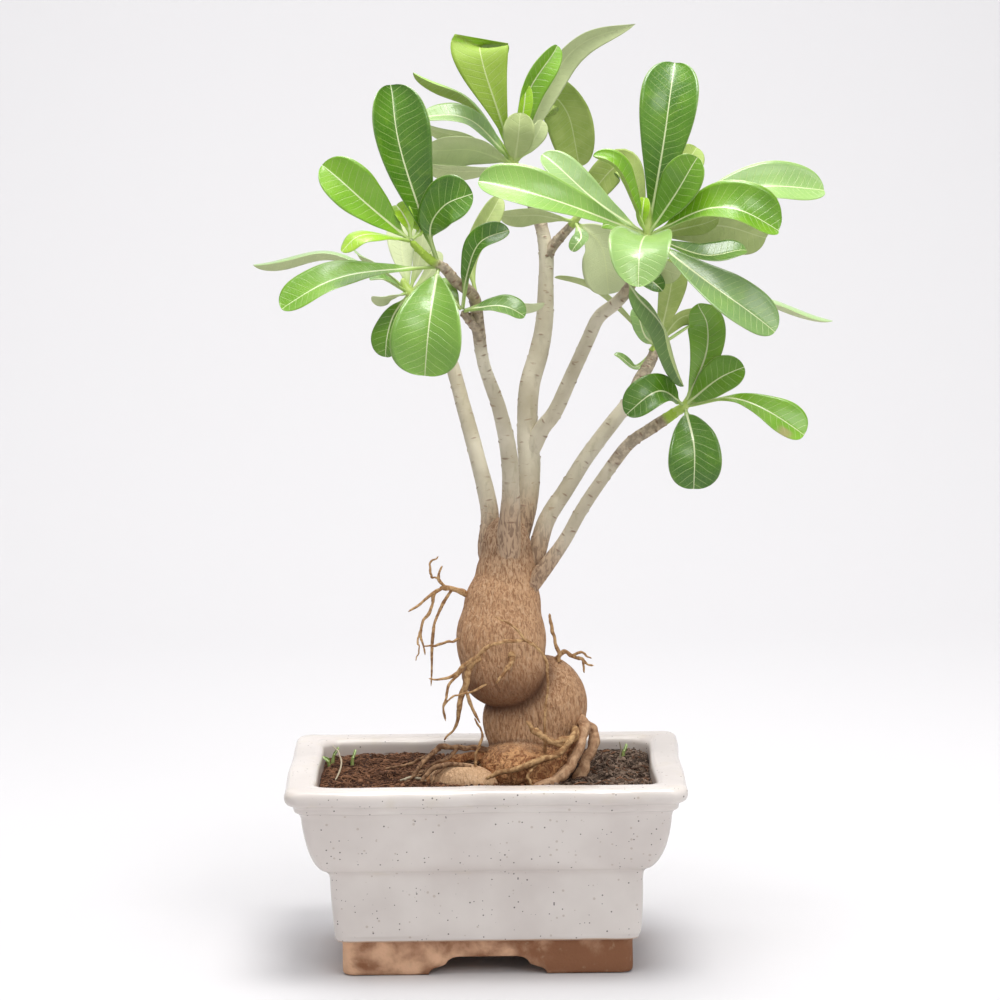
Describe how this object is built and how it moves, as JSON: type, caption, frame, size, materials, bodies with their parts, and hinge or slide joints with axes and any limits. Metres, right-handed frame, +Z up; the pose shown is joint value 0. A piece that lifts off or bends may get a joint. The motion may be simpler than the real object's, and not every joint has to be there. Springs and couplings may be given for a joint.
{
  "type": "potted desert rose adenium",
  "caption": "Young desert rose: a swollen, folded caudex with aerial roots and slender stems bearing tufts of leathery leaves, in a speckled footed pot.",
  "frame": {"origin": "centre of the whole object's box, in plan, on the surface that the pot stands on", "axes": "+Z up, +X along the pot's long side, to the side that the right-hand stems lean to; -Y is the front"},
  "size_m": [0.3112, 0.1678, 0.49],
  "materials": {
    "glazed_stoneware": "gloss white glaze with dark specks, bare brown clay foot",
    "potting_soil": "matt, coarse coir fibre and clods",
    "caudex_skin": "matt tan skin with fine lengthwise wrinkles",
    "root_skin": "matt, dry and fibrous",
    "stem_bark": "satin grey-green bark with brown leaf scars",
    "leaf_blade": "glossy leathery leaf with pale veins and a pale underside"
  },
  "bodies": {
    "root": {"caudex": "caudex_skin", "leaf_back_1": "leaf_blade", "leaf_back_2": "leaf_blade", "leaf_bare_end_1": "leaf_blade", "leaf_front_1": "leaf_blade", "leaf_front_2": "leaf_blade", "leaf_front_3": "leaf_blade", "leaf_front_4": "leaf_blade", "leaf_left_1": "leaf_blade", "leaf_left_2": "leaf_blade", "leaf_left_3": "leaf_blade", "leaf_left_4": "leaf_blade", "leaf_low_right_1": "leaf_blade", "leaf_low_right_2": "leaf_blade", "leaf_low_right_3": "leaf_blade", "leaf_low_right_4": "leaf_blade", "leaf_low_right_5": "leaf_blade", "leaf_middle_1": "leaf_blade", "leaf_middle_10": "leaf_blade", "leaf_middle_11": "leaf_blade", "leaf_middle_2": "leaf_blade", "leaf_middle_3": "leaf_blade", "leaf_middle_4": "leaf_blade", "leaf_middle_5": "leaf_blade", "leaf_middle_6": "leaf_blade", "leaf_middle_7": "leaf_blade", "leaf_middle_8": "leaf_blade", "leaf_middle_9": "leaf_blade", "leaf_right_1": "leaf_blade", "leaf_right_2": "leaf_blade", "leaf_right_3": "leaf_blade", "leaf_shoot_1": "leaf_blade", "leaf_shoot_2": "leaf_blade", "leaf_top_1": "leaf_blade", "leaf_top_2": "leaf_blade", "leaf_top_3": "leaf_blade", "leaf_top_4": "leaf_blade", "leaf_top_5": "leaf_blade", "leaf_top_6": "leaf_blade", "leaf_top_7": "leaf_blade", "leaf_top_8": "leaf_blade", "leaf_twig_1": "leaf_blade", "leaf_twig_2": "leaf_blade", "pot": "glazed_stoneware", "root_aerial_left": "root_skin", "root_arch": "root_skin", "root_front_sweep": "root_skin", "root_hanging": "root_skin", "root_right_spray": "root_skin", "root_surface_left": "root_skin", "soil": "potting_soil", "stem_back": "stem_bark", "stem_front": "stem_bark", "stem_left": "stem_bark", "stem_low_right": "stem_bark", "stem_middle": "stem_bark", "stem_right": "stem_bark", "twig_back": "stem_bark", "twig_front": "stem_bark"}
  },
  "joints": []
}
